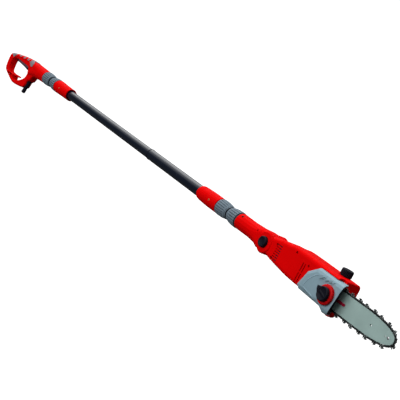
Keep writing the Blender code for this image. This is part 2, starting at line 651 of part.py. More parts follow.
def make_drive():
    spindle = (SPINDLE_X, 0, DRIVE_Z)
    bore = SPINDLE_R + GAP
    paint(rod("sprocket_spindle", -25, 30.5, SPINDLE_R, "Y", spindle, 20), STEEL, 0.3, 1.0)
    paint(toothed("bevel_gear", 21.5, 23.2, 24, 7.4, 14.0, "Y", spindle, bore), STEEL, 0.35, 1.0)
    paint(tube("spindle_bearing", 23.0, 30.5, 11.0, bore, "Y", spindle, 20), STEEL, 0.3, 1.0)
    sprocket = toothed("drive_sprocket", 12.5, 17.0, 6, BAR_Y - 3.5, BAR_Y + 3.5, "Y", spindle, bore)
    paint(sprocket, STEEL, 0.3, 1.0)


def make_oil_system():
    x, y = CAP_CENTRE
    outline = [(2006, 19), (2030, 18), (2031, -32), (2055, -32), (2055, 32), (2006, 32)]
    tank = slab("oil_tank", outline, [(3, -1.5), (4.5, 0), (23, 0), (27, -4)])
    neck_bore = FILLER_R - 1.4
    join(tank, rod("filler_neck", 22, HEAD_TOP, FILLER_R, "Z", (x, y, 0), STEPS))
    cut(tank, slab("tank_room", outline, [(4.6, -1.6), (22.4, -1.6), (25.6, -5)]),
        rod("neck_room", 20, OPEN_END, neck_bore, "Z", (x, y, 0), STEPS))
    paint(tank, (0.75, 0.72, 0.6), 0.5)
    base = HEAD_TOP + 3 * GAP
    top = base + 16.4
    cap_r = 14.6
    stem_r = neck_bore - 0.5
    profile = [(base - 12, 0), (base - 12, stem_r), (base, stem_r), (base, cap_r - 1), (base + 1, cap_r),
               (top - 1.4, cap_r), (top, cap_r - 1.8), (top, 0)]
    paint(turned("oil_cap", profile, "Z", (x, y, 0)), BLACK, 0.5)


def cover_front(name, depth, start, end):
    """Everything ahead of the cover's slanting front edge moved back by depth, from start to end in y."""
    bm = bmesh.new()
    rings = []
    for y in (start, end):
        back = depth + FRONT_SLANT * (y - COVER_Y)
        edge = [(x - back, z) for x, z in reversed(COVER_FRONT)]
        outline = edge + [(2130, edge[-1][1]), (2130, edge[0][1])]
        rings.append([bm.verts.new((x, y, z)) for x, z in outline])
    low, high = rings
    for i in range(len(low)):
        following = (i + 1) % len(low)
        bm.faces.new((low[i], low[following], high[following], high[i]))
    bm.faces.new(low)
    bm.faces.new(list(reversed(high)))
    return place(name, bm, (0.0, 0.0, 0.0))


def cover_skin(name, inset):
    """The cover's outside moved inward, as a solid; a broad facet runs round its flat face."""
    layers = [(0, -10.5), (3, -4), (7, -1), (11, 0)]
    placed = [(COVER_Y + depth + inset, growth - inset) for depth, growth in layers]
    return slab(name, COVER_OUTLINE, placed + [(MOUNT_Y - GAP + 2 * inset, -inset)])


def make_cover():
    beyond = MOUNT_Y + 5
    cover = cover_skin("sprocket_cover", 0.0)
    room_layers = [(COVER_Y + 3, -13), (COVER_Y + 6, -6.5), (COVER_Y + 9, -3.8), (COVER_Y + 12, -2.6),
                   (MOUNT_Y + 4, -2.6)]
    strip_room = cover_skin("strip_room", LIP_THICK)
    keep_inside(strip_room, cover_front("strip_room_form", STRIP_DEPTH + GAP, COVER_Y - 2, beyond))
    cut(cover, slab("cover_inside", COVER_OUTLINE, room_layers),
        rod("cover_stud_hole", -OPEN_END, -30, STUD_R + 1.5, "Y", (STUD_X, 0, DRIVE_Z)),
        cover_front("face_end", 0, COVER_Y - 4, beyond), strip_room)
    paint(cover, COVER_GREY, 0.5)
    strip = cover_skin("cover_strip", LIP_THICK + GAP)
    keep_inside(strip, cover_front("strip_form", STRIP_DEPTH, COVER_Y - 2, beyond))
    cut(strip, cover_front("strip_end", 0.3, COVER_Y - 4, beyond + 2),
        block("strip_top", (2040, MOUNT_Y - GAP, -OPEN_END), (2120, beyond, OPEN_END)),
        block("strip_exit", (2040, BAR_Y - 7, -42.4), (2120, beyond, 26)))
    paint(strip, BLACK, 0.6)


def make_tensioner():
    centre = (STUD_X, 0, DRIVE_Z)
    face = COVER_Y - GAP
    outer = face - RING_THICK
    ring_r = 23.5
    knob_r = 17.0
    ring = turned("tension_ring", [(face, 6.0), (outer, 6.0), (outer, ring_r - 2), (outer + 1.5, ring_r),
                                   (face - 1, ring_r), (face, ring_r - 1)], "Y", centre)
    paint(ring, RED, 0.35)
    knob = turned("clamp_knob", [(KNOB_FACE, 0), (KNOB_FACE, knob_r), (KNOB_Y + 2, knob_r),
                                 (KNOB_Y, knob_r - 1.5), (KNOB_Y, 0)], "Y", centre)
    pointer = [(STUD_X - 23.3, DRIVE_Z + 4.5), (STUD_X - 20.5, DRIVE_Z + 1.5), (STUD_X - 10, DRIVE_Z - 9),
               (STUD_X - 4, DRIVE_Z + 13)]
    join(knob, slab("knob_pointer", pointer, [(KNOB_Y + 1.0, 0), (KNOB_FACE - 1.0, 0)]))
    cut(knob, rod("knob_thread", KNOB_FACE - 5, KNOB_FACE + 2, STUD_R + GAP, "Y", centre))
    paint(knob, BLACK, 0.4)
    end = KNOB_FACE - 4.6
    head = -8.7
    stud = turned("bar_stud", [(end, 0), (end, STUD_R), (head, STUD_R), (head, 5.6), (-5.0, 5.6), (-5.0, 0)],
                  "Y", centre, 20)
    paint(stud, STEEL, 0.35, 1.0)


# ---------------------------------------------------------------- guide bar and chain

def bar_outline(grow=0.0, parts=16):
    """Straight edges and a blunt super-elliptic nose, as (x, z) points, anticlockwise."""
    start = 2152.0
    length = BAR_TIP - start + grow
    half = BAR_HALF + grow
    nose = []
    for k in range(parts + 1):
        angle = math.pi * (k / parts - 0.5)
        reach = abs(math.cos(angle)) ** (2 / 2.4)
        rise = math.copysign(abs(math.sin(angle)) ** (2 / 2.4), angle)
        nose.append((start + length * reach, DRIVE_Z + half * rise))
    return nose


def make_bar():
    rear = [(2062, DRIVE_Z + BAR_HALF), (BAR_REAR + 4, DRIVE_Z + 20), (BAR_REAR, DRIVE_Z + 16),
            (BAR_REAR, DRIVE_Z - 16), (BAR_REAR + 4, DRIVE_Z - 20), (2062, DRIVE_Z - BAR_HALF)]
    half = BAR_THICK / 2
    chamfer = 0.6
    bar = slab("guide_bar", bar_outline() + rear,
               [(BAR_Y - half, -chamfer), (BAR_Y - half + chamfer, 0),
                (BAR_Y + half - chamfer, 0), (BAR_Y + half, -chamfer)])
    nose = (NOSE_CENTRE_X, BAR_Y, DRIVE_Z)
    slot = STUD_R + 0.4
    cut(bar,
        block("stud_slot", (STUD_X - 18, BAR_Y - 5, DRIVE_Z - slot), (STUD_X + 8, BAR_Y + 5, DRIVE_Z + slot)),
        rod("bar_hole", -5, 5, 2.6, "Y", (2185, BAR_Y, DRIVE_Z)),
        block("nose_slot", (NOSE_CENTRE_X - 12.5, BAR_Y - 0.9, -OPEN_END),
              (BAR_TIP + OPEN_END, BAR_Y + 0.9, OPEN_END)),
        rod("rivet_hole", -5, 5, 3.3, "Y", nose))
    paint(bar, STEEL, 0.35, 1.0)
    wheel = toothed("nose_sprocket", 9.0, 12.0, 8, -0.6, 0.6, "Y", nose, 1.0)
    join(wheel, rod("nose_axle", -half, half, 3.0, "Y", nose, 16))
    paint(wheel, STEEL, 0.3, 1.0)
    tongue = slab("tension_slider", [(2066, DRIVE_Z - 3), (2096, DRIVE_Z - 3), (2098, DRIVE_Z),
                                     (2096, DRIVE_Z + 3), (2066, DRIVE_Z + 3)],
                  [(BAR_Y - half - GAP - 1.6, 0), (BAR_Y - half - GAP, 0)])
    paint(tongue, (0.45, 0.0, 0.03), 0.4)


def chain_loop(grow, wrap, knee):
    """Path round the bar, moved outward by grow, and round the drive sprocket, by wrap."""
    points = bar_outline(grow)
    points.append((knee, DRIVE_Z + BAR_HALF + grow))
    for k in range(15):
        angle = math.pi * (0.5 + (k + 0.5) / 15)
        points.append((SPINDLE_X + wrap * math.cos(angle), DRIVE_Z + wrap * math.sin(angle)))
    points.append((knee, DRIVE_Z - BAR_HALF - grow))
    return points


def make_chain():
    layers = [(BAR_Y - 3.0, -1.6), (BAR_Y - 2.0, 0), (BAR_Y + 2.0, 0), (BAR_Y + 3.0, -1.6)]
    chain = slab("saw_chain", chain_loop(CHAIN_DEPTH, 23.6, 2080), layers)
    cut(chain, slab("chain_inside", chain_loop(0.4, 18.0, 2062), [(BAR_Y - 10, 0), (BAR_Y + 10, 0)]))
    paint(chain, (0.03, 0.035, 0.035), 0.4, 0.9)


def main():
    clear_scene()
    layout = bpy.data.objects.new("pole_saw", None)
    layout.location = (-CENTRE_X * MM, -CENTRE_Y * MM, -LOWEST_Z * MM)
    bpy.context.collection.objects.link(layout)
    make_handle()
    make_trigger()
    make_cord_entry()
    make_rear_coupling()
    make_tubes()
    make_front_coupling()
    make_neck()
    make_housing()
    make_motor()
    make_drive()
    make_oil_system()
    make_cover()
    make_tensioner()
    make_bar()
    make_chain()


main()
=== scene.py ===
"""Looks of the telescoping pole saw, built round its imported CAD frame.

Lengths below are millimetres in the pole's own layout: x is the station along the pole
from the rear of the handle, y is across it with the sprocket cover on the -y side, and
z is up from the pole's axis. ORIGIN moves that layout into the frame, in metres.
"""
import math

import bmesh
import bpy
from mathutils import Matrix, Vector


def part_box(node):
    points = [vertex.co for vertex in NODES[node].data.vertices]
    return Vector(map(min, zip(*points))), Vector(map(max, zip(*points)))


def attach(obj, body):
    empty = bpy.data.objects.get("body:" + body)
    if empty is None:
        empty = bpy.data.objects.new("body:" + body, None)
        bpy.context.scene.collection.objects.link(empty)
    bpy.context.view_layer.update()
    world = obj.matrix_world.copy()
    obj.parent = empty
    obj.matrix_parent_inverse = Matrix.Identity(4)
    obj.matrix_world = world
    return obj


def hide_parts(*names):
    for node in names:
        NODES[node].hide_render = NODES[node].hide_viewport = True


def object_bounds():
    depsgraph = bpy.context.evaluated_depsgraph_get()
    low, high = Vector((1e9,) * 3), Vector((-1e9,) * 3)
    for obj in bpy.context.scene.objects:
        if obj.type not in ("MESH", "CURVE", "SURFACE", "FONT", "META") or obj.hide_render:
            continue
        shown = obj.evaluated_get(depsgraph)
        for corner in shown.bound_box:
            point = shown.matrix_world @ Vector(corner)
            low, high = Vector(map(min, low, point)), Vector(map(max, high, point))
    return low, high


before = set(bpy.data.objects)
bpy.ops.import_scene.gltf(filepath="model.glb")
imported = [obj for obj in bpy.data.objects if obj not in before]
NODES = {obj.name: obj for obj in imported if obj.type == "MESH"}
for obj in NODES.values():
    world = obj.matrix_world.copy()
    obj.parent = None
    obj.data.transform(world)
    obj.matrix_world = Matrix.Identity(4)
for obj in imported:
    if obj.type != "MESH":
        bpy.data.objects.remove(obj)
cad_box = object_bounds()

MM = 0.001
NUT_START = 333.3              # station of the rear union nut's rear end


def middle(node):
    """Centre of a CAD node's box, in the frame."""
    low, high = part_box(node)
    return (low + high) / 2


POLE_AXIS = middle("inner_tube")
ORIGIN = Vector((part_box("rear_union_nut")[0].x - NUT_START * MM, POLE_AXIS.y, POLE_AXIS.z))


def layout_box(node):
    """Lowest and highest corners of a CAD node, in layout millimetres."""
    low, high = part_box(node)
    return (low - ORIGIN) / MM, (high - ORIGIN) / MM


# ---------------------------------------------------------------- materials

def node_at(tree, kind, **settings):
    """New shader node with its settings."""
    made = tree.nodes.new(kind)
    for name, value in settings.items():
        setattr(made, name, value)
    return made


def noise(tree, scale, detail, stretch=(1.0, 1.0, 1.0)):
    """Noise in the piece's own coordinates."""
    place = node_at(tree, "ShaderNodeTexCoord")
    mapping = node_at(tree, "ShaderNodeMapping")
    mapping.inputs["Scale"].default_value = stretch
    texture = node_at(tree, "ShaderNodeTexNoise")
    texture.inputs["Scale"].default_value = scale
    texture.inputs["Detail"].default_value = detail
    tree.links.new(place.outputs["Object"], mapping.inputs["Vector"])
    tree.links.new(mapping.outputs["Vector"], texture.inputs["Vector"])
    return texture.outputs["Fac"]


def spread(tree, source, low, high):
    """Maps a noise of about 0.3 to 0.7 onto low to high."""
    ramp = node_at(tree, "ShaderNodeMapRange")
    ramp.inputs["From Min"].default_value = 0.3
    ramp.inputs["From Max"].default_value = 0.7
    ramp.inputs["To Min"].default_value = low
    ramp.inputs["To Max"].default_value = high
    tree.links.new(source, ramp.inputs["Value"])
    return ramp.outputs["Result"]


def edge_mask(tree, radius):
    """Mask that is about 1 on the surface's edges and 0 on its flats, and the rounded normal."""
    bevel = node_at(tree, "ShaderNodeBevel", samples=4)
    bevel.inputs["Radius"].default_value = radius
    surface = node_at(tree, "ShaderNodeNewGeometry")
    dot = node_at(tree, "ShaderNodeVectorMath", operation="DOT_PRODUCT")
    tree.links.new(bevel.outputs["Normal"], dot.inputs[0])
    tree.links.new(surface.outputs["Normal"], dot.inputs[1])
    ramp = node_at(tree, "ShaderNodeMapRange")
    ramp.inputs["From Min"].default_value = 0.99
    ramp.inputs["From Max"].default_value = 0.86
    tree.links.new(dot.outputs["Value"], ramp.inputs["Value"])
    return ramp.outputs["Result"], bevel.outputs["Normal"]


BLOTCH = 22.0                  # scale of the slow colour change
GRAIN_DEPTH = 0.0004           # metres


def make_material(name, colour, roughness, specular=0.35, metallic=0.0, grain=1400.0, relief=0.12,
                  mottle=0.08, wear=0.12, stretch=(1.0, 1.0, 1.0), rounding=0.0006):
    """Moulded plastic, rubber or metal: grain, slow colour change, uneven gloss and worn edges."""
    material = bpy.data.materials.new(name)
    material.use_nodes = True
    tree = material.node_tree
    shader = tree.nodes["Principled BSDF"]
    shader.inputs["Metallic"].default_value = metallic
    shader.inputs["Specular IOR Level"].default_value = specular
    broad = noise(tree, BLOTCH, 3.0)
    fine = noise(tree, grain, 2.0, stretch)
    dark = [max(0.0, c * (1.0 - mottle)) for c in colour]
    light = [min(1.0, c * (1.0 + mottle)) for c in colour]
    mix = node_at(tree, "ShaderNodeMix", data_type="RGBA")
    mix.inputs[6].default_value = (*dark, 1.0)
    mix.inputs[7].default_value = (*light, 1.0)
    tree.links.new(spread(tree, broad, 0.0, 1.0), mix.inputs[0])
    mask, rounded = edge_mask(tree, rounding)
    rubbed = [min(1.0, c + wear * (0.25 + c)) for c in colour]
    worn = node_at(tree, "ShaderNodeMix", data_type="RGBA")
    worn.inputs[7].default_value = (*rubbed, 1.0)
    tree.links.new(mix.outputs[2], worn.inputs[6])
    tree.links.new(mask, worn.inputs[0])
    tree.links.new(worn.outputs[2], shader.inputs["Base Color"])
    gloss = node_at(tree, "ShaderNodeMath", operation="ADD")
    tree.links.new(spread(tree, fine, roughness - 0.05, roughness + 0.05), gloss.inputs[0])
    tree.links.new(spread(tree, broad, -0.04, 0.04), gloss.inputs[1])
    tree.links.new(gloss.outputs[0], shader.inputs["Roughness"])
    bump = node_at(tree, "ShaderNodeBump")
    bump.inputs["Strength"].default_value = relief
    bump.inputs["Distance"].default_value = GRAIN_DEPTH
    tree.links.new(fine, bump.inputs["Height"])
    tree.links.new(rounded, bump.inputs["Normal"])
    tree.links.new(bump.outputs["Normal"], shader.inputs["Normal"])
    return material


ALONG = (0.04, 1.0, 1.0)       # draws the grain out along the pole
RED = make_material("red_moulding", (0.84, 0.0006, 0.001), 0.5, specular=0.012, mottle=0.04, wear=0.006)
RED_RING = make_material("red_ring", (0.62, 0.002, 0.004), 0.45, specular=0.08, mottle=0.05, wear=0.02)
GREY = make_material("collar_grey", (0.175, 0.228, 0.275), 0.6, specular=0.15, wear=0.15)
# Painted shade: a dark grey for the collars' groove bottoms and end recesses, where shade falls.
GROOVE_SHADE = make_material("collar_groove_shade", (0.045, 0.062, 0.078), 0.7, specular=0.1, wear=0.0)
COVER = make_material("cover_grey", (0.275, 0.405, 0.475), 0.5, specular=0.2, mottle=0.05, wear=0.25,
                      rounding=0.0012)
# Painted shade: a darker grey laid on the cover's face where its curved grooves fall into shade.
COVER_SHADE = make_material("cover_groove_shade", (0.10, 0.15, 0.175), 0.6, specular=0.1, wear=0.0)
PAD = make_material("pad_rubber", (0.30, 0.255, 0.275), 0.75, specular=0.15, grain=900.0, relief=0.3,
                    wear=0.1)
BLACK = make_material("black_moulding", (0.0075, 0.0075, 0.0145), 0.4, specular=0.1, wear=0.02)
BLACK_SOFT = make_material("black_rubber", (0.009, 0.008, 0.018), 0.6, specular=0.1, relief=0.3,
                           wear=0.02)
STRIP = make_material("trigger_strip", (0.15, 0.085, 0.115), 0.5, specular=0.2, wear=0.05)
TUBE = make_material("tube_coating", (0.004, 0.0075, 0.019), 0.2, specular=0.5, grain=500.0, relief=0.03,
                     mottle=0.15, wear=0.05, stretch=ALONG)
STEEL = make_material("machined_steel", (0.50, 0.51, 0.52), 0.3, metallic=1.0, grain=900.0, relief=0.1)
SCREW = make_material("dark_screw", (0.05, 0.02, 0.02), 0.4, metallic=0.6)
BRASS = make_material("brass_screw", (0.72, 0.47, 0.20), 0.35, metallic=0.9)
COPPER = make_material("copper_winding", (0.62, 0.26, 0.11), 0.4, metallic=1.0, grain=700.0, relief=0.4)
BAR = make_material("bar_steel", (0.38, 0.525, 0.495), 0.42, specular=0.3, metallic=0.15, grain=700.0,
                    relief=0.06, mottle=0.06, wear=0.3, stretch=ALONG)
CHAIN = make_material("chain_dark", (0.012, 0.016, 0.018), 0.35, specular=0.4, metallic=0.3, wear=0.10)
CUTTER = make_material("cutter_plate", (0.16, 0.18, 0.18), 0.24, specular=0.5, metallic=0.8, wear=0.8)
TONGUE = make_material("dark_red_tongue", (0.36, 0.004, 0.03), 0.45, specular=0.1, mottle=0.05, wear=0.03)
TANK = make_material("tank_plastic", (0.72, 0.69, 0.58), 0.5)

CAD_FINISH = {
    RED: ["handle_shell_left", "handle_shell_right", "rear_sleeve", "front_sleeve", "neck_shell_left",
          "neck_shell_right", "motor_housing_left", "motor_housing_right"],
    PAD: ["grip_pad"],
    COVER: ["sprocket_cover"],
    # cover_strip is black partly as its own black plastic lip and partly as painted shade of the cover's dim
    # front end face over the bar's mouth.
    BLACK: ["trigger_switch", "lockoff_button", "cord_clamp", "rear_plug", "rear_socket", "front_plug",
            "front_socket", "lock_bush", "cover_strip", "cooling_fan"],
    BLACK_SOFT: ["spiral_cable"],
    STEEL: ["trigger_pin", "tilt_pin", "motor_stator", "rear_bearing", "front_bearing", "spindle_bearing",
            "bevel_pinion", "bevel_gear", "sprocket_spindle", "drive_sprocket", "nose_sprocket", "bar_stud"],
    SCREW: ["neck_screw_1", "neck_screw_2", "head_screw_1", "head_screw_2", "head_screw_3",
            "head_screw_4"],
    BRASS: ["rear_sleeve_screw", "front_sleeve_screw"],
    COPPER: ["motor_armature"],
    BAR: ["guide_bar"],
    TONGUE: ["tension_slider"],
    TANK: ["oil_tank"],
}
for finish, names in CAD_FINISH.items():
    for name in names:
        NODES[name].data.materials.clear()
        NODES[name].data.materials.append(finish)


# ---------------------------------------------------------------- shapes

def settle(name, bm, body, materials, replaced=(), smooth=35.0):
    """Turns a bmesh in layout millimetres into a piece that rides on a body."""
    bmesh.ops.recalc_face_normals(bm, faces=bm.faces)
    bmesh.ops.scale(bm, vec=(MM, MM, MM), verts=bm.verts)
    bmesh.ops.translate(bm, vec=ORIGIN, verts=bm.verts)
    mesh = bpy.data.meshes.new(name)
    bm.to_mesh(mesh)
    bm.free()
    mesh.shade_smooth()
    mesh.set_sharp_from_angle(angle=math.radians(smooth))
    for material in materials:
        mesh.materials.append(material)
    made = bpy.data.objects.new(name, mesh)
    bpy.context.scene.collection.objects.link(made)
    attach(made, body)
    if replaced:
        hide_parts(*replaced)
    return made


TURNS = {"X": Matrix.Identity(4), "Y": Matrix.Rotation(math.pi / 2, 4, "Z"),
         "Z": Matrix.Rotation(-math.pi / 2, 4, "Y")}
# Steps marked with this take the second material, painted shade for the inside of a recess.
SHADED_RECESS = -1                    # rib share at both ends of a step that is a dark recess


def rib_grooves(ribs, steps, sharp):
    """How far each step round the circle lies in a groove, from 0 on a rib to 1."""
    if not ribs:
        return [0.0] * steps
    turns = [ribs * 2 * math.pi * k / steps for k in range(steps)]
    return [(0.5 + 0.5 * math.cos(turn)) ** sharp for turn in turns]


def turn_into(bm, profile, axis="X", centre=(0, 0, 0), steps=96, ribs=0, depth=0.0, tilt=None,
              dark=None, sharp=3):
    """Spins (along, radius, rib share) points; grooves between the ribs are cut to depth.

    The second material is painted shade: it goes on recesses and, where dark is given, on the
    faces of a groove that are deeper than that share of it.
    """
    move = Matrix.Translation(centre) @ (tilt or Matrix.Identity(4)) @ TURNS[axis]
    grooves = rib_grooves(ribs, steps, sharp)
    rings = []
    for along, radius, share in profile:
        if radius <= 0.0:
            rings.append([bm.verts.new(move @ Vector((along, 0, 0)))])
            continue
        ring = []
        for k in range(steps):
            angle = 2 * math.pi * k / steps
            reach = radius - max(0.0, share) * depth * grooves[k]
            spot = Vector((along, reach * math.cos(angle), reach * math.sin(angle)))
            ring.append(bm.verts.new(move @ spot))
        rings.append(ring)
    shares = [share for along, radius, share in profile]
    bands = list(zip(rings, rings[1:], shares, shares[1:]))
    if len(rings[0]) > 1:
        bands.append((rings[-1], rings[0], 0.0, 0.0))
    for low, high, first, second in bands:
        recess = first == SHADED_RECESS and second == SHADED_RECESS
        for k in range(steps):
            corners = [low[k % len(low)], low[(k + 1) % len(low)],
                       high[(k + 1) % len(high)], high[k % len(high)]]
            corners = list(dict.fromkeys(corners))
            if len(corners) < 3:
                continue
            face = bm.faces.new(corners)
            # Recesses and deep groove faces take the second material, the painted shade.
            sunk = first * second * min(grooves[k], grooves[(k + 1) % steps])
            if recess or (dark is not None and sunk > dark):
                face.material_index = 1
    return bm


def smooth_outline(points, parts=4):
    """Closed Catmull-Rom curve through the points."""
    count = len(points)
    result = []
    for i in range(count):
        a, b, c, d = (Vector(points[(i + k - 1) % count]) for k in range(4))
        for k in range(parts):
            t = k / parts
            result.append(0.5 * (2 * b + (c - a) * t + (2 * a - 5 * b + 4 * c - d) * t ** 2
                                 + (3 * b - a - 3 * c + d) * t ** 3))
    return result


def rounded_corners(points, radius, parts=4):
    """Polygon with each corner replaced by a short curve."""
    result = []
    count = len(points)
    for i in range(count):
        before, corner, after = (Vector(points[(i + k) % count]) for k in (-1, 0, 1))
        start = corner + (before - corner).normalized() * min(radius, (before - corner).length * 0.45)
        end = corner + (after - corner).normalized() * min(radius, (after - corner).length * 0.45)
        for k in range(parts + 1):
            t = k / parts
            result.append(start * (1 - t) ** 2 + corner * 2 * t * (1 - t) + end * t ** 2)
    return result


def grown(outline, amount):
    """Outline moved outward by amount."""
    count = len(outline)
    moved = []
    for i in range(count):
        before, point, after = (Vector(outline[(i + k) % count]) for k in (-1, 0, 1))
        first = (point - before).normalized()
        second = (after - point).normalized()
        normal = Vector((first.y + second.y, -first.x - second.x)).normalized()
        stretch = 1.0 / max(0.5, normal.dot(Vector((second.y, -second.x))))
        moved.append(point + normal * amount * stretch)
    return moved


def slab_into(bm, outline, layers, material=0):
    """Stacks an anticlockwise x-z outline along y; each layer is (y, growth)."""
    rings = []
    for y, growth in layers:
        ring = grown(outline, growth) if growth else [Vector(point) for point in outline]
        rings.append([bm.verts.new((point.x, y, point.y)) for point in ring])
    count = len(outline)
    faces = [bm.faces.new((low[i], low[(i + 1) % count], high[(i + 1) % count], high[i]))
             for low, high in zip(rings, rings[1:]) for i in range(count)]
    faces.append(bm.faces.new(rings[0]))
    faces.append(bm.faces.new(list(reversed(rings[-1]))))
    for face in faces:
        face.material_index = material
    return bm


def close_rings(bm, rings):
    """Joins rings of corners into a closed solid."""
    count = len(rings[0])
    for low, high in zip(rings, rings[1:]):
        for k in range(count):
            following = (k + 1) % count
            bm.faces.new((low[k], low[following], high[following], high[k]))
    bm.faces.new(rings[0])
    bm.faces.new(rings[-1][::-1])
    return bm


def bead_into(bm, path, radius, sides=8):
    """Round bead along a path of points, with pointed ends."""
    rings = []
    last = len(path) - 1
    for i, point in enumerate(path):
        ahead = (Vector(path[min(i + 1, last)]) - Vector(path[max(i - 1, 0)])).normalized()
        side = ahead.cross(Vector((0, 1, 0))).normalized()
        across = ahead.cross(side).normalized()
        reach = radius * (0.25 if i in (0, last) else 1.0)
        ring = []
        for k in range(sides):
            angle = 2 * math.pi * k / sides
            outward = side * math.cos(angle) + across * math.sin(angle)
            ring.append(bm.verts.new(Vector(point) + outward * reach))
        rings.append(ring)
    return close_rings(bm, rings)


# ---------------------------------------------------------------- couplings and tubes

COLLAR_BORE = 17.4


def ribbed_collar(node, body, wide_end):
    """Union nut or collar: ribs between two recesses painted dark as shade, narrower towards the joint."""
    low, high = layout_box(node)
    wide = (high.z - low.z) / 2
    narrow = wide - 3.5
    shape = [(0.0, COLLAR_BORE, 0), (0.0, wide - 2.6, SHADED_RECESS), (0.05, wide - 2.6, SHADED_RECESS),
             (0.055, wide - 0.7, SHADED_RECESS), (0.075, wide - 0.1, 0.5), (0.12, wide, 1),
             (0.3, wide - 0.05, 1), (0.5, wide - 0.4, 1), (0.68, wide - 1.3, 1),
             (0.80, narrow + 1.1, 1), (0.86, narrow + 0.6, 0.6), (0.89, narrow + 0.35, 0),
             (0.925, narrow - 0.1, 0), (0.93, narrow - 1.6, SHADED_RECESS), (1.0, narrow - 1.6, SHADED_RECESS),
             (1.0, COLLAR_BORE, 0)]
    start, length = (low.x, high.x - low.x) if wide_end == "rear" else (high.x, low.x - high.x)
    profile = [(start + share * length, radius, rib) for share, radius, rib in shape]
    # Groove faces deeper than 0.3 of the groove and both end recesses take painted shade.
    bm = turn_into(bmesh.new(), profile, steps=360, ribs=20, depth=1.5, dark=0.3, sharp=8)
    settle(node + "_ribbed", bm, body, [GREY, GROOVE_SHADE], [node])


def plain_tube(node, body, wall, end_round):
    """Tube of the pole with its ends rounded over."""
    low, high = layout_box(node)
    outer = (high.z - low.z) / 2
    inner = outer - wall
    profile = [(low.x, inner, 0), (low.x, outer - end_round, 0), (low.x + end_round, outer, 0),
               (high.x - end_round, outer, 0), (high.x, outer - end_round, 0), (high.x, inner, 0)]
    settle(node + "_skin", turn_into(bmesh.new(), profile), body, [TUBE], [node])


def tube_end_ring():
    """Black ring at the outer tube's mouth."""
    low, high = layout_box("tube_end_ring")
    bore = 15.3
    radius = (high.z - low.z) / 2
    profile = [(low.x, bore, 0), (low.x, radius - 1.0, 0), (low.x + 0.3, radius - 0.4, 0),
               (low.x + 1.2, radius, 0), (high.x - 0.5, radius, 0), (high.x, radius - 0.3, 0),
               (high.x, bore, 0)]
    settle("tube_end_ring_skin", turn_into(bmesh.new(), profile), "front_pole",
           [BLACK_SOFT], ["tube_end_ring"])


def cord_boot():
    """Soft ribs round a leaning body, with an open mouth for the cord."""
    top = (221.0, 0.0, -38.0)
    lean = Matrix.Rotation(math.radians(16.0), 4, "Y")
    profile = [(4, 0, 0), (4, 9.0, 0), (0.6, 9.0, 0), (0.5, 7.4, 0), (-13, 7.4, 0), (-13.6, 7.2, 0)]
    for start in (-18, -26, -34, -42):
        profile += [(start + 3.2, 7.2, 0), (start + 2, 7.15, 0), (start + 0.6, 6.4, 0),
                    (start - 2.6, 6.4, 0), (start - 3.6, 7.0, 0)]
    profile += [(-50, 7.3, 0), (-59.5, 7.3, 0), (-61.2, 6.9, 0), (-61.9, 6.0, 0), (-61.9, 4.9, 0),
                (-61, 4.5, 0), (-50, 4.5, 0), (-50, 0, 0)]
    bm = turn_into(bmesh.new(), profile, "Z", top, 48, tilt=lean)
    settle("cord_boot_ribbed", bm, "handle", [BLACK_SOFT], ["cord_boot"])


ribbed_collar("rear_union_nut", "rear_nut", "rear")
ribbed_collar("rear_collar", "handle", "front")
ribbed_collar("front_collar", "front_pole", "rear")
ribbed_collar("front_union_nut", "front_nut", "front")
plain_tube("inner_tube", "handle", 1.0, 0.4)
plain_tube("outer_tube", "front_pole", 0.7, 0.2)
tube_end_ring()
cord_boot()


# ---------------------------------------------------------------- grip and trigger

TOP_LINE = [(20, 4.0), (40, 7.1), (60, 10.0), (85, 13.4), (110, 16.5), (135, 18.8), (160, 20.5),
            (186, 22.0), (212, 23.0)]
RIB_SECTION = [(-15.9, -8.6, 0.0), (-16.1, -5.2, 0.4), (-15.6, -3.0, 0.6), (-13.6, -0.6, 0.8),
               (-9.6, 1.9, 0.9), (-5.0, 2.3, 1.0), (0.0, 2.4, 1.0), (5.0, 2.3, 1.0), (9.6, 1.9, 0.9),
               (13.6, -0.6, 0.8), (15.6, -3.0, 0.6), (16.1, -5.2, 0.4), (15.9, -8.6, 0.0)]
GRIP_HALF = 16.0


def top_at(x):
    """Height of the grip's top line at a station."""
    for first, second in zip(TOP_LINE, TOP_LINE[1:]):
        if first[0] <= x <= second[0]:
            share = (x - first[0]) / (second[0] - first[0])
            return first[1] + share * (second[1] - first[1])
    raise ValueError("station off the grip: %s" % x)


def grip_rib(name, start, end, slant):
    """Red band over the soft pad, wrapped from one side of the grip to the other.

    RIB_SECTION holds (y, height over the top line, share of the full lift) points.
    """
    bm = bmesh.new()
    steps = 8
    rings = []
    for i in range(steps + 1):
        share = i / steps
        crown = math.sqrt(max(0.0, 1.0 - (2 * share - 1) ** 6))
        outer = []
        inner = []
        for y, z, lift in RIB_SECTION:
            x = start + share * (end - start) + slant * abs(y) / GRIP_HALF
            outward = Vector((0, y / GRIP_HALF, 1.0)).normalized()
            base = Vector((x, y, top_at(x) + z))
            outer.append(base + outward * (0.9 * crown * lift - 0.5))
            inner.append(base - outward * 1.9)
        rings.append([bm.verts.new(point) for point in outer + inner[::-1]])
    settle(name, close_rings(bm, rings), "handle", [RED], smooth=50.0)


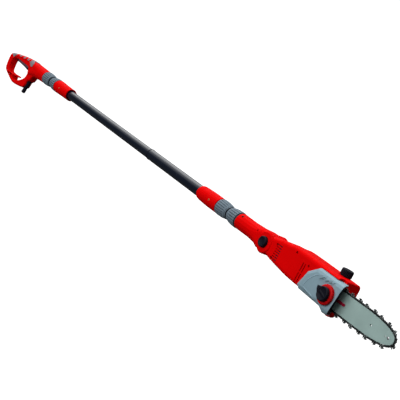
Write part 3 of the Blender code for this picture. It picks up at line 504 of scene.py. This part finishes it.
def trigger():
    """Long trigger with rounded edges and a paler inlay on each side."""
    outline = smooth_outline([(55, 3), (53, -8), (60, -13), (100, -15), (140, -17), (168, -20),
                              (173, -14), (172, -1), (120, -1), (80, 0), (68, 5), (60, 7)])
    layers = [(-6.5, -1.8), (-6.2, -1.0), (-5.4, -0.3), (-4.2, 0), (4.2, 0), (5.4, -0.3),
              (6.2, -1.0), (6.5, -1.8)]
    settle("trigger_body", slab_into(bmesh.new(), outline, layers), "trigger_lever",
           [BLACK], ["trigger"])
    inlay = rounded_corners([(66, -5.0), (72, -11.5), (166, -13.0), (169, -4.5), (120, -3.2)], 2.0)
    for name, side in (("trigger_inlay_left", -1), ("trigger_inlay_right", 1)):
        layers = sorted([(side * 6.3, 0), (side * 6.9, 0), (side * 7.1, -0.4)])
        settle(name, slab_into(bmesh.new(), inlay, layers), "trigger_lever",
               [STRIP])


for index, (start, end) in enumerate(((48, 77), (91, 113), (127, 149), (163, 183)), 1):
    grip_rib("grip_rib_%d" % index, start, end, 4.0)
trigger()


# ---------------------------------------------------------------- knobs, ring and cap

DRIVE_Z = -9.0                 # height of the guide bar's middle and of the sprocket
PIVOT = (1782.0, 0.0, -1.0)
STUD = (2058.0, 0.0, DRIVE_Z)


def tilt_button():
    """Dished button in the middle of the tilt hinge."""
    low, high = layout_box("tilt_button")
    face = low.y
    profile = [(face + 1.6, 0, 0), (face + 1.4, 5, 0), (face + 0.7, 8.8, 0), (face + 0.1, 10.8, 0),
               (face, 11.6, 0), (face + 0.25, 12.5, 0), (face + 0.9, 13.3, 0), (face + 2.2, 13.9, 0),
               (face + 4, 14.1, 0), (-22, 14.1, 0), (-22, 6.2, 0), (high.y, 6.2, 0), (high.y, 0, 0)]
    settle("tilt_button_dished", turn_into(bmesh.new(), profile, "Y", PIVOT), "tilt_release",
           [BLACK], ["tilt_button"])


def filler_cap():
    """Ribbed cap with a sunk top."""
    low, high = layout_box("oil_cap")
    centre = ((low.x + high.x) / 2, (low.y + high.y) / 2, 0)
    top = high.z
    base = top - 16.4
    radius = (high.x - low.x) / 2
    profile = [(low.z, 0, 0), (low.z, 7.4, 0), (base, 7.4, 0), (base, radius - 1.2, 0),
               (base + 0.6, radius - 0.4, 0.2), (base + 1.6, radius, 1), (top - 3.0, radius, 1),
               (top - 1.6, radius - 0.3, 0.6), (top - 0.6, radius - 1.0, 0), (top, radius - 2.2, 0),
               (top, radius - 4.0, 0), (top - 1.6, radius - 5.2, 0), (top - 2.0, radius - 8, 0),
               (top - 2.0, 0, 0)]
    bm = turn_into(bmesh.new(), profile, "Z", centre, 192, ribs=24, depth=1.3)
    settle("oil_cap_ribbed", bm, "filler_cap", [BLACK], ["oil_cap"])


def tension_ring():
    """Ridged ring round the clamp knob."""
    low, high = layout_box("tension_ring")
    radius = (high.x - low.x) / 2
    profile = [(high.y, 6, 0), (low.y, 6, 0), (low.y, 19.5, 0), (low.y + 0.3, 21.2, 0),
               (low.y + 1.4, radius - 0.6, 0.4), (low.y + 2.2, radius, 1), (high.y - 1.4, radius, 1),
               (high.y - 0.6, radius - 0.4, 0.3), (high.y, radius - 1.2, 0)]
    bm = turn_into(bmesh.new(), profile, "Y", STUD, 224, ribs=28, depth=1.5)
    settle("tension_ring_ridged", bm, "tension_dial", [RED_RING], ["tension_ring"])


def round_the_stud(offsets, radius):
    """Outline from x-z offsets to the stud, with rounded corners."""
    return rounded_corners([(STUD[0] + x, STUD[2] + z) for x, z in offsets], radius)


def clamp_knob():
    """Round knob with a pointer on its rim and a raised grip bar across its face."""
    low, high = layout_box("clamp_knob")
    outer = low.y
    inner = high.y
    profile = [(outer + 1.2, 0, 0), (outer + 1.2, 11.5, 0), (outer + 0.9, 12.6, 0),
               (outer + 0.1, 13.6, 0), (outer, 14.6, 0), (outer + 0.4, 15.8, 0),
               (outer + 1.3, 16.7, 0.5), (outer + 2.4, 17, 1), (inner - 1.0, 17, 1), (inner, 16.4, 0),
               (inner, 4.3, 0), (inner - 5, 4.3, 0), (inner - 5, 0, 0)]
    bm = turn_into(bmesh.new(), profile, "Y", STUD, 180, ribs=30, depth=0.5)
    pointer = round_the_stud([(-23.4, 10.5), (-21.5, 1.5), (-12.0, -9.0), (-3.0, 14.0)], 2.0)
    slab_into(bm, pointer, [(outer + 0.8, -1.0), (outer + 1.6, 0), (inner - 1.4, 0), (inner - 1.0, -0.4)])
    grip_bar = round_the_stud([(-11.5, -1.0), (9.5, -7.0), (11.5, -2.0), (-9.0, 6.0)], 2.5)
    slab_into(bm, grip_bar, [(outer + 0.3, -1.2), (outer + 0.9, 0), (outer + 1.5, 0)])
    settle("clamp_knob_pointer", bm, "knob", [BLACK], ["clamp_knob"])


tilt_button()
filler_cap()
tension_ring()
clamp_knob()


# ---------------------------------------------------------------- sprocket cover and housing trim

COVER_Y = layout_box("sprocket_cover")[0].y
FLAT_TOP = 20.0
FACET_SLOPE = 3 / 6.5
PANEL_RIDGE = [(2034, -33.5), (2010, -30.5), (1988, -27.5), (1981.5, -24.5), (1980, -19), (1985, -8),
               (1992, 3), (2000, 11.5), (2010, 18.5), (2020, 22.5), (2030, 24)]
RIDGE_SECTION = [(-2.2, -0.4), (-1.3, 0.55), (-0.5, 0.8), (0.6, 0.6), (2.6, -0.4)]


def on_face(point, lift):
    """A point of the cover's face, raised by lift; above FLAT_TOP the face leans back."""
    back = max(0.0, point.y - FLAT_TOP) * FACET_SLOPE
    return Vector((point.x, COVER_Y + back - lift, point.y))


def panel_ridge():
    """Low ridge round the cover's raised panel; the section is (sideways, outward) points."""
    bm = bmesh.new()
    rings = []
    last = len(PANEL_RIDGE) - 1
    for i, spot in enumerate(PANEL_RIDGE):
        before = Vector(PANEL_RIDGE[max(i - 1, 0)])
        after = Vector(PANEL_RIDGE[min(i + 1, last)])
        ahead = (after - before).normalized()
        side = Vector((-ahead.y, ahead.x))
        thin = 0.3 if i in (0, last) else 1.0
        rings.append([bm.verts.new(on_face(Vector(spot) + side * offset * thin, rise * thin))
                      for offset, rise in RIDGE_SECTION])
    settle("cover_panel_ridge", close_rings(bm, rings), "head", [COVER], smooth=45.0)


def crescent(name, start, end):
    """Flat dark plate on the cover's face, painted shade of a shallow curved groove, pointed at both ends,
    with a bead above.
    """
    bulge = -2.2
    width = 4.2
    steps = 12
    start = Vector(start)
    end = Vector(end)
    side = Vector((start.y - end.y, end.x - start.x)).normalized()
    upper = []
    lower = []
    for k in range(steps + 1):
        swell = math.sin(math.pi * k / steps)
        centre = start.lerp(end, k / steps)
        upper.append(centre + side * (bulge * swell))
        lower.append(centre + side * (bulge * swell + width * max(swell, 0.05) ** 0.8))
    bm = bmesh.new()
    rings = [[bm.verts.new(on_face(point, lift))
              for point, lift in ((above, 0.3), (below, 0.3), (below, -0.4), (above, -0.4))]
             for above, below in zip(upper, lower)]
    settle(name, close_rings(bm, rings), "head", [COVER_SHADE])
    bead = bead_into(bmesh.new(), [on_face(point, 0.25) for point in upper], 0.9)
    settle(name + "_ridge", bead, "head", [COVER])


def housing_crease(name, side):
    """Fine curved line across the housing's side."""
    path = [(1899 + 0.018 * (z + 26) ** 1.9, side * 33.6, z) for z in range(-24, 27, 3)]
    settle(name, bead_into(bmesh.new(), path, 0.4), "head", [RED])


def vent_shade_sheet(name, side, start, end, bottom, top):
    """Dark sheet behind a group of cooling slots, painted shade for the dim inside of the housing."""
    outline = rounded_corners([(start, bottom), (end, bottom), (end, top), (start, top)], 1.5)
    layers = sorted([(side * 28.6, -0.6), (side * 28.9, 0), (side * 29.6, 0)])
    settle(name, slab_into(bmesh.new(), outline, layers), "head", [BLACK_SOFT])


panel_ridge()
# Three curved grooves shown as dark plates of painted shade, each with a raised bead.
crescent("cover_groove_1", (2014, 8.5), (2034, 22.5))
crescent("cover_groove_2", (2030, 10.5), (2055, 24.0))
crescent("cover_groove_3", (2046, 13.5), (2067, 24.0))
SIDES = (("left", -1), ("right", 1))
for word, side in SIDES:
    housing_crease("housing_crease_" + word, side)
# Black sheets behind the cooling slots are painted shade for the housing's dim inside.
for word, side in SIDES:
    vent_shade_sheet("rear_vent_shade_" + word, side, 1839.5, 1856, -22, 19)
for word, side in SIDES:
    vent_shade_sheet("front_vent_shade_" + word, side, 1930, 1949, -31, 18)


# ---------------------------------------------------------------- guide bar trim and saw chain

BAR_Y = middle("guide_bar").y / MM - ORIGIN.y / MM
BAR_TIP = layout_box("guide_bar")[1].x
BAR_HALF = 24.0
NOSE_START = 2152.0            # station where the bar's edges begin to close in
NOSE_FULLNESS = 2.4            # 2 would be an ellipse
NOSE_X = 2241.0
COVER_EXIT = 2066.0            # station where the chain leaves the bar's straight edges
SPINDLE_X = 2000.0
SPROCKET_R = 18.2


def bar_rivets():
    """Large rivet of the nose sprocket and a small one behind it."""
    bm = bmesh.new()
    for x, radius in ((NOSE_X, 3.0), (NOSE_X - 8.5, 1.4)):
        profile = [(-2.55, 0, 0), (-2.5, radius * 0.6, 0), (-2.2, radius, 0), (2.2, radius, 0),
                   (2.5, radius * 0.6, 0), (2.55, 0, 0)]
        turn_into(bm, profile, "Y", (x, BAR_Y, DRIVE_Z), 32)
    settle("bar_rivets", bm, "head", [STEEL])


def bar_nose(parts=48):
    """Round nose of the guide bar, from its lower edge to its upper edge."""
    nose = []
    for k in range(parts + 1):
        angle = math.pi * (k / parts - 0.5)
        reach = abs(math.cos(angle)) ** (2 / NOSE_FULLNESS)
        rise = math.copysign(abs(math.sin(angle)) ** (2 / NOSE_FULLNESS), angle)
        nose.append(Vector((NOSE_START + (BAR_TIP - NOSE_START) * reach, DRIVE_Z + BAR_HALF * rise)))
    return nose


def chain_path():
    """Closed path of the chain's base, round the nose, back, and round the drive sprocket."""
    points = bar_nose()
    points.append(Vector((COVER_EXIT, DRIVE_Z + BAR_HALF)))
    turns = 25
    for k in range(turns):
        angle = math.pi * (0.5 + (k + 0.5) / turns)
        points.append(Vector((SPINDLE_X + SPROCKET_R * math.cos(angle),
                              DRIVE_Z + SPROCKET_R * math.sin(angle))))
    points.append(Vector((COVER_EXIT, DRIVE_Z - BAR_HALF)))
    return points


PATH = chain_path()
LENGTHS = [0.0]
for first, second in zip(PATH, PATH[1:] + PATH[:1]):
    LENGTHS.append(LENGTHS[-1] + (second - first).length)
LOOP = LENGTHS[-1]


def on_path(distance):
    """Point of the chain's path at a distance along it."""
    distance %= LOOP
    for i in range(len(PATH)):
        if LENGTHS[i] <= distance <= LENGTHS[i + 1]:
            share = (distance - LENGTHS[i]) / max(1e-9, LENGTHS[i + 1] - LENGTHS[i])
            return PATH[i].lerp(PATH[(i + 1) % len(PATH)], share)
    return PATH[0]


PITCHES = 96
PITCH = LOOP / PITCHES
HALF = PITCH / 2
SIDE = HALF + 1.7              # half the length of a link plate

# outlines of the chain's plates, as (along, outward) points
STRAP = [(-SIDE, 1.2), (-SIDE + 1.0, 0.15), (SIDE - 1.0, 0.15), (SIDE, 1.2), (SIDE, 3.4),
         (SIDE - 1.2, 4.4), (1.2, 3.7), (-1.2, 3.7), (-SIDE + 1.2, 4.4), (-SIDE, 3.4)]
DRIVE = [(-SIDE + 0.4, 0.1), (SIDE - 0.4, 0.1), (SIDE - 0.2, 2.9), (SIDE - 1.2, 3.8), (1.0, 4.4),
         (-2.0, 3.6), (-SIDE + 0.6, 3.3)]
TOOTH = [(-SIDE - 0.6, 0.15), (SIDE + 0.6, 0.15), (SIDE + 0.9, 3.4), (SIDE + 0.6, 8.2), (0.2, 9.6),
         (-0.9, 6.6), (-1.8, 4.0), (-2.6, 4.2), (-3.2, 7.8), (-4.6, 8.4), (-SIDE - 1.0, 3.4)]
RIVET = [(-3.2, 0, 0), (-3.1, 1.0, 0), (-2.6, 1.4, 0), (2.6, 1.4, 0), (3.1, 1.0, 0), (3.2, 0, 0)]
RIVET_HEIGHT = 3.1


def link_place(index):
    """Middle, direction and outward normal of the link between two rivets."""
    first = on_path(index * PITCH)
    second = on_path((index + 1) * PITCH)
    along = (second - first).normalized()
    return (first + second) / 2, along, Vector((along.y, -along.x))


def plate_into(bm, place, outlines, widths, material):
    """Plate of the chain between two outlines of (along, outward) points, at two y offsets."""
    centre, along, outward = place
    rings = []
    for outline, w in zip(outlines, widths):
        points = [centre + along * u + outward * v for u, v in outline]
        rings.append([bm.verts.new((point.x, BAR_Y + w, point.y)) for point in points])
    known = len(bm.faces)
    close_rings(bm, rings)
    bm.faces.ensure_lookup_table()
    for face in bm.faces[known:]:
        face.material_index = material


def top_plate_into(bm, place, side):
    """Cutting plate bent over from the tooth's side plate, with a slanting front edge."""
    near, far = ([(front, 9.6), (front + 0.5, 8.4), (SIDE + 0.4, 7.0), (SIDE + 0.6, 8.2)]
                 for front in (-0.2, 1.6))
    plate_into(bm, place, (near, far), (2.9 * side, -2.4 * side), 1)


def side_plates_into(bm, place, index):
    """Two straps and their rivets; every second pair has a tooth, on alternate sides."""
    toothed = 0
    if index % 4 == 1:
        toothed = 1 if index % 8 == 1 else -1
    for side in (-1, 1):
        widths = (side * 1.2, side * 2.6)
        if side == toothed:
            plate_into(bm, place, (TOOTH, TOOTH), widths, 1)
            top_plate_into(bm, place, side)
        else:
            plate_into(bm, place, (STRAP, STRAP), widths, 0)
    centre, along, outward = place
    for end in (-HALF, HALF):
        spot = centre + along * end + outward * RIVET_HEIGHT
        turn_into(bm, RIVET, "Y", (spot.x, BAR_Y, spot.y), 10)


def saw_chain():
    """Drive links in turn with pairs of side plates, all round the bar."""
    bm = bmesh.new()
    for index in range(PITCHES):
        place = link_place(index)
        if index % 2 == 0:
            plate_into(bm, place, (DRIVE, DRIVE), (-0.9, 0.9), 0)
        else:
            side_plates_into(bm, place, index)
    settle("saw_chain_links", bm, "head", [CHAIN, CUTTER], ["saw_chain"], smooth=30.0)


bar_rivets()
saw_chain()


# ---------------------------------------------------------------- stage, light and camera

def glow(name, strength, colour):
    """Pale matte surface that shines, so that the background stays plain."""
    material = bpy.data.materials.new(name)
    material.use_nodes = True
    shader = material.node_tree.nodes["Principled BSDF"]
    shader.inputs["Base Color"].default_value = (colour, colour, colour, 1.0)
    shader.inputs["Roughness"].default_value = 1.0
    shader.inputs["Specular IOR Level"].default_value = 0.0
    shader.inputs["Emission Color"].default_value = (1.0, 1.0, 1.0, 1.0)
    shader.inputs["Emission Strength"].default_value = strength
    return material


def make_stage():
    """Floor and a white dome, which only the camera sees; the world lights the object."""
    reach = 30.0
    level = cad_box[0][2]
    mesh = bpy.data.meshes.new("floor")
    corners = [(-reach, -reach, level), (reach, -reach, level), (reach, reach, level),
               (-reach, reach, level)]
    mesh.from_pydata(corners, [], [(0, 1, 2, 3)])
    mesh.materials.append(glow("pale_floor", 0.9, 0.3))
    bm = bmesh.new()
    bmesh.ops.create_uvsphere(bm, u_segments=48, v_segments=24, radius=reach * 0.8)
    dome_mesh = bpy.data.meshes.new("backdrop")
    bm.to_mesh(dome_mesh)
    bm.free()
    dome_mesh.materials.append(glow("white_backdrop", 1.05, 0.0))
    for name, data in (("floor", mesh), ("backdrop", dome_mesh)):
        made = bpy.data.objects.new(name, data)
        bpy.context.scene.collection.objects.link(made)
        made.visible_diffuse = False
        made.visible_glossy = False
        made.visible_transmission = False
        made.visible_shadow = False


def make_world():
    """Studio that is bright overhead, dim low down, and dimmer past the saw's tip."""
    world = bpy.data.worlds.new("studio")
    bpy.context.scene.world = world
    world.use_nodes = True
    tree = world.node_tree
    back = tree.nodes["Background"]
    place = tree.nodes.new("ShaderNodeTexCoord")
    parts = tree.nodes.new("ShaderNodeSeparateXYZ")
    tree.links.new(place.outputs["Generated"], parts.inputs[0])

    def ramp(source, low, high, dim, bright):
        node = tree.nodes.new("ShaderNodeMapRange")
        node.interpolation_type = "SMOOTHSTEP"
        node.inputs["From Min"].default_value = low
        node.inputs["From Max"].default_value = high
        node.inputs["To Min"].default_value = dim
        node.inputs["To Max"].default_value = bright
        tree.links.new(parts.outputs[source], node.inputs["Value"])
        return node.outputs["Result"]

    scale = tree.nodes.new("ShaderNodeMath")
    scale.operation = "MULTIPLY"
    tree.links.new(ramp("Z", 0.12, 0.62, 0.07, 1.05), scale.inputs[0])
    tree.links.new(ramp("X", -0.2, 0.75, 1.0, 0.36), scale.inputs[1])
    tree.links.new(scale.outputs[0], back.inputs["Strength"])
    back.inputs["Color"].default_value = (0.98, 1.0, 1.0, 1.0)


def area_light(name, place, size, power):
    """Rectangular lamp, in metres and watts, that faces the middle of the saw."""
    target = Vector((0.0, 0.0, 0.1))
    data = bpy.data.lights.new(name, "AREA")
    data.shape = "RECTANGLE"
    data.size, data.size_y = size
    data.energy = power
    lamp = bpy.data.objects.new(name, data)
    lamp.location = place
    lamp.rotation_euler = (target - Vector(place)).to_track_quat("-Z", "Y").to_euler()
    bpy.context.scene.collection.objects.link(lamp)


def make_camera():
    """The pole's position in the view fixes the camera; lens 90 mm on a 36 mm sensor."""
    data = bpy.data.cameras.new("camera")
    data.lens = 90.0
    data.sensor_width = 36.0
    data.clip_start = 0.05
    camera = bpy.data.objects.new("camera", data)
    camera.location = ORIGIN + Vector((3.5466, -1.6153, 0.3336))
    camera.rotation_euler = [math.radians(turn) for turn in (81.4672, -27.0602, 56.3512)]
    bpy.context.scene.collection.objects.link(camera)
    bpy.context.scene.camera = camera


make_stage()
make_world()
area_light("overhead", (0.2, 0.3, 3.0), (4.0, 1.6), 30.0)
area_light("side", (-0.1, -3.4, 0.7), (4.0, 1.2), 62.0)
area_light("tube_stripe", (-6.3, 1.2, 4.8), (5.0, 4.0), 85.0)
make_camera()
bpy.context.scene.view_settings.view_transform = "Standard"
bpy.context.scene.view_settings.look = "None"
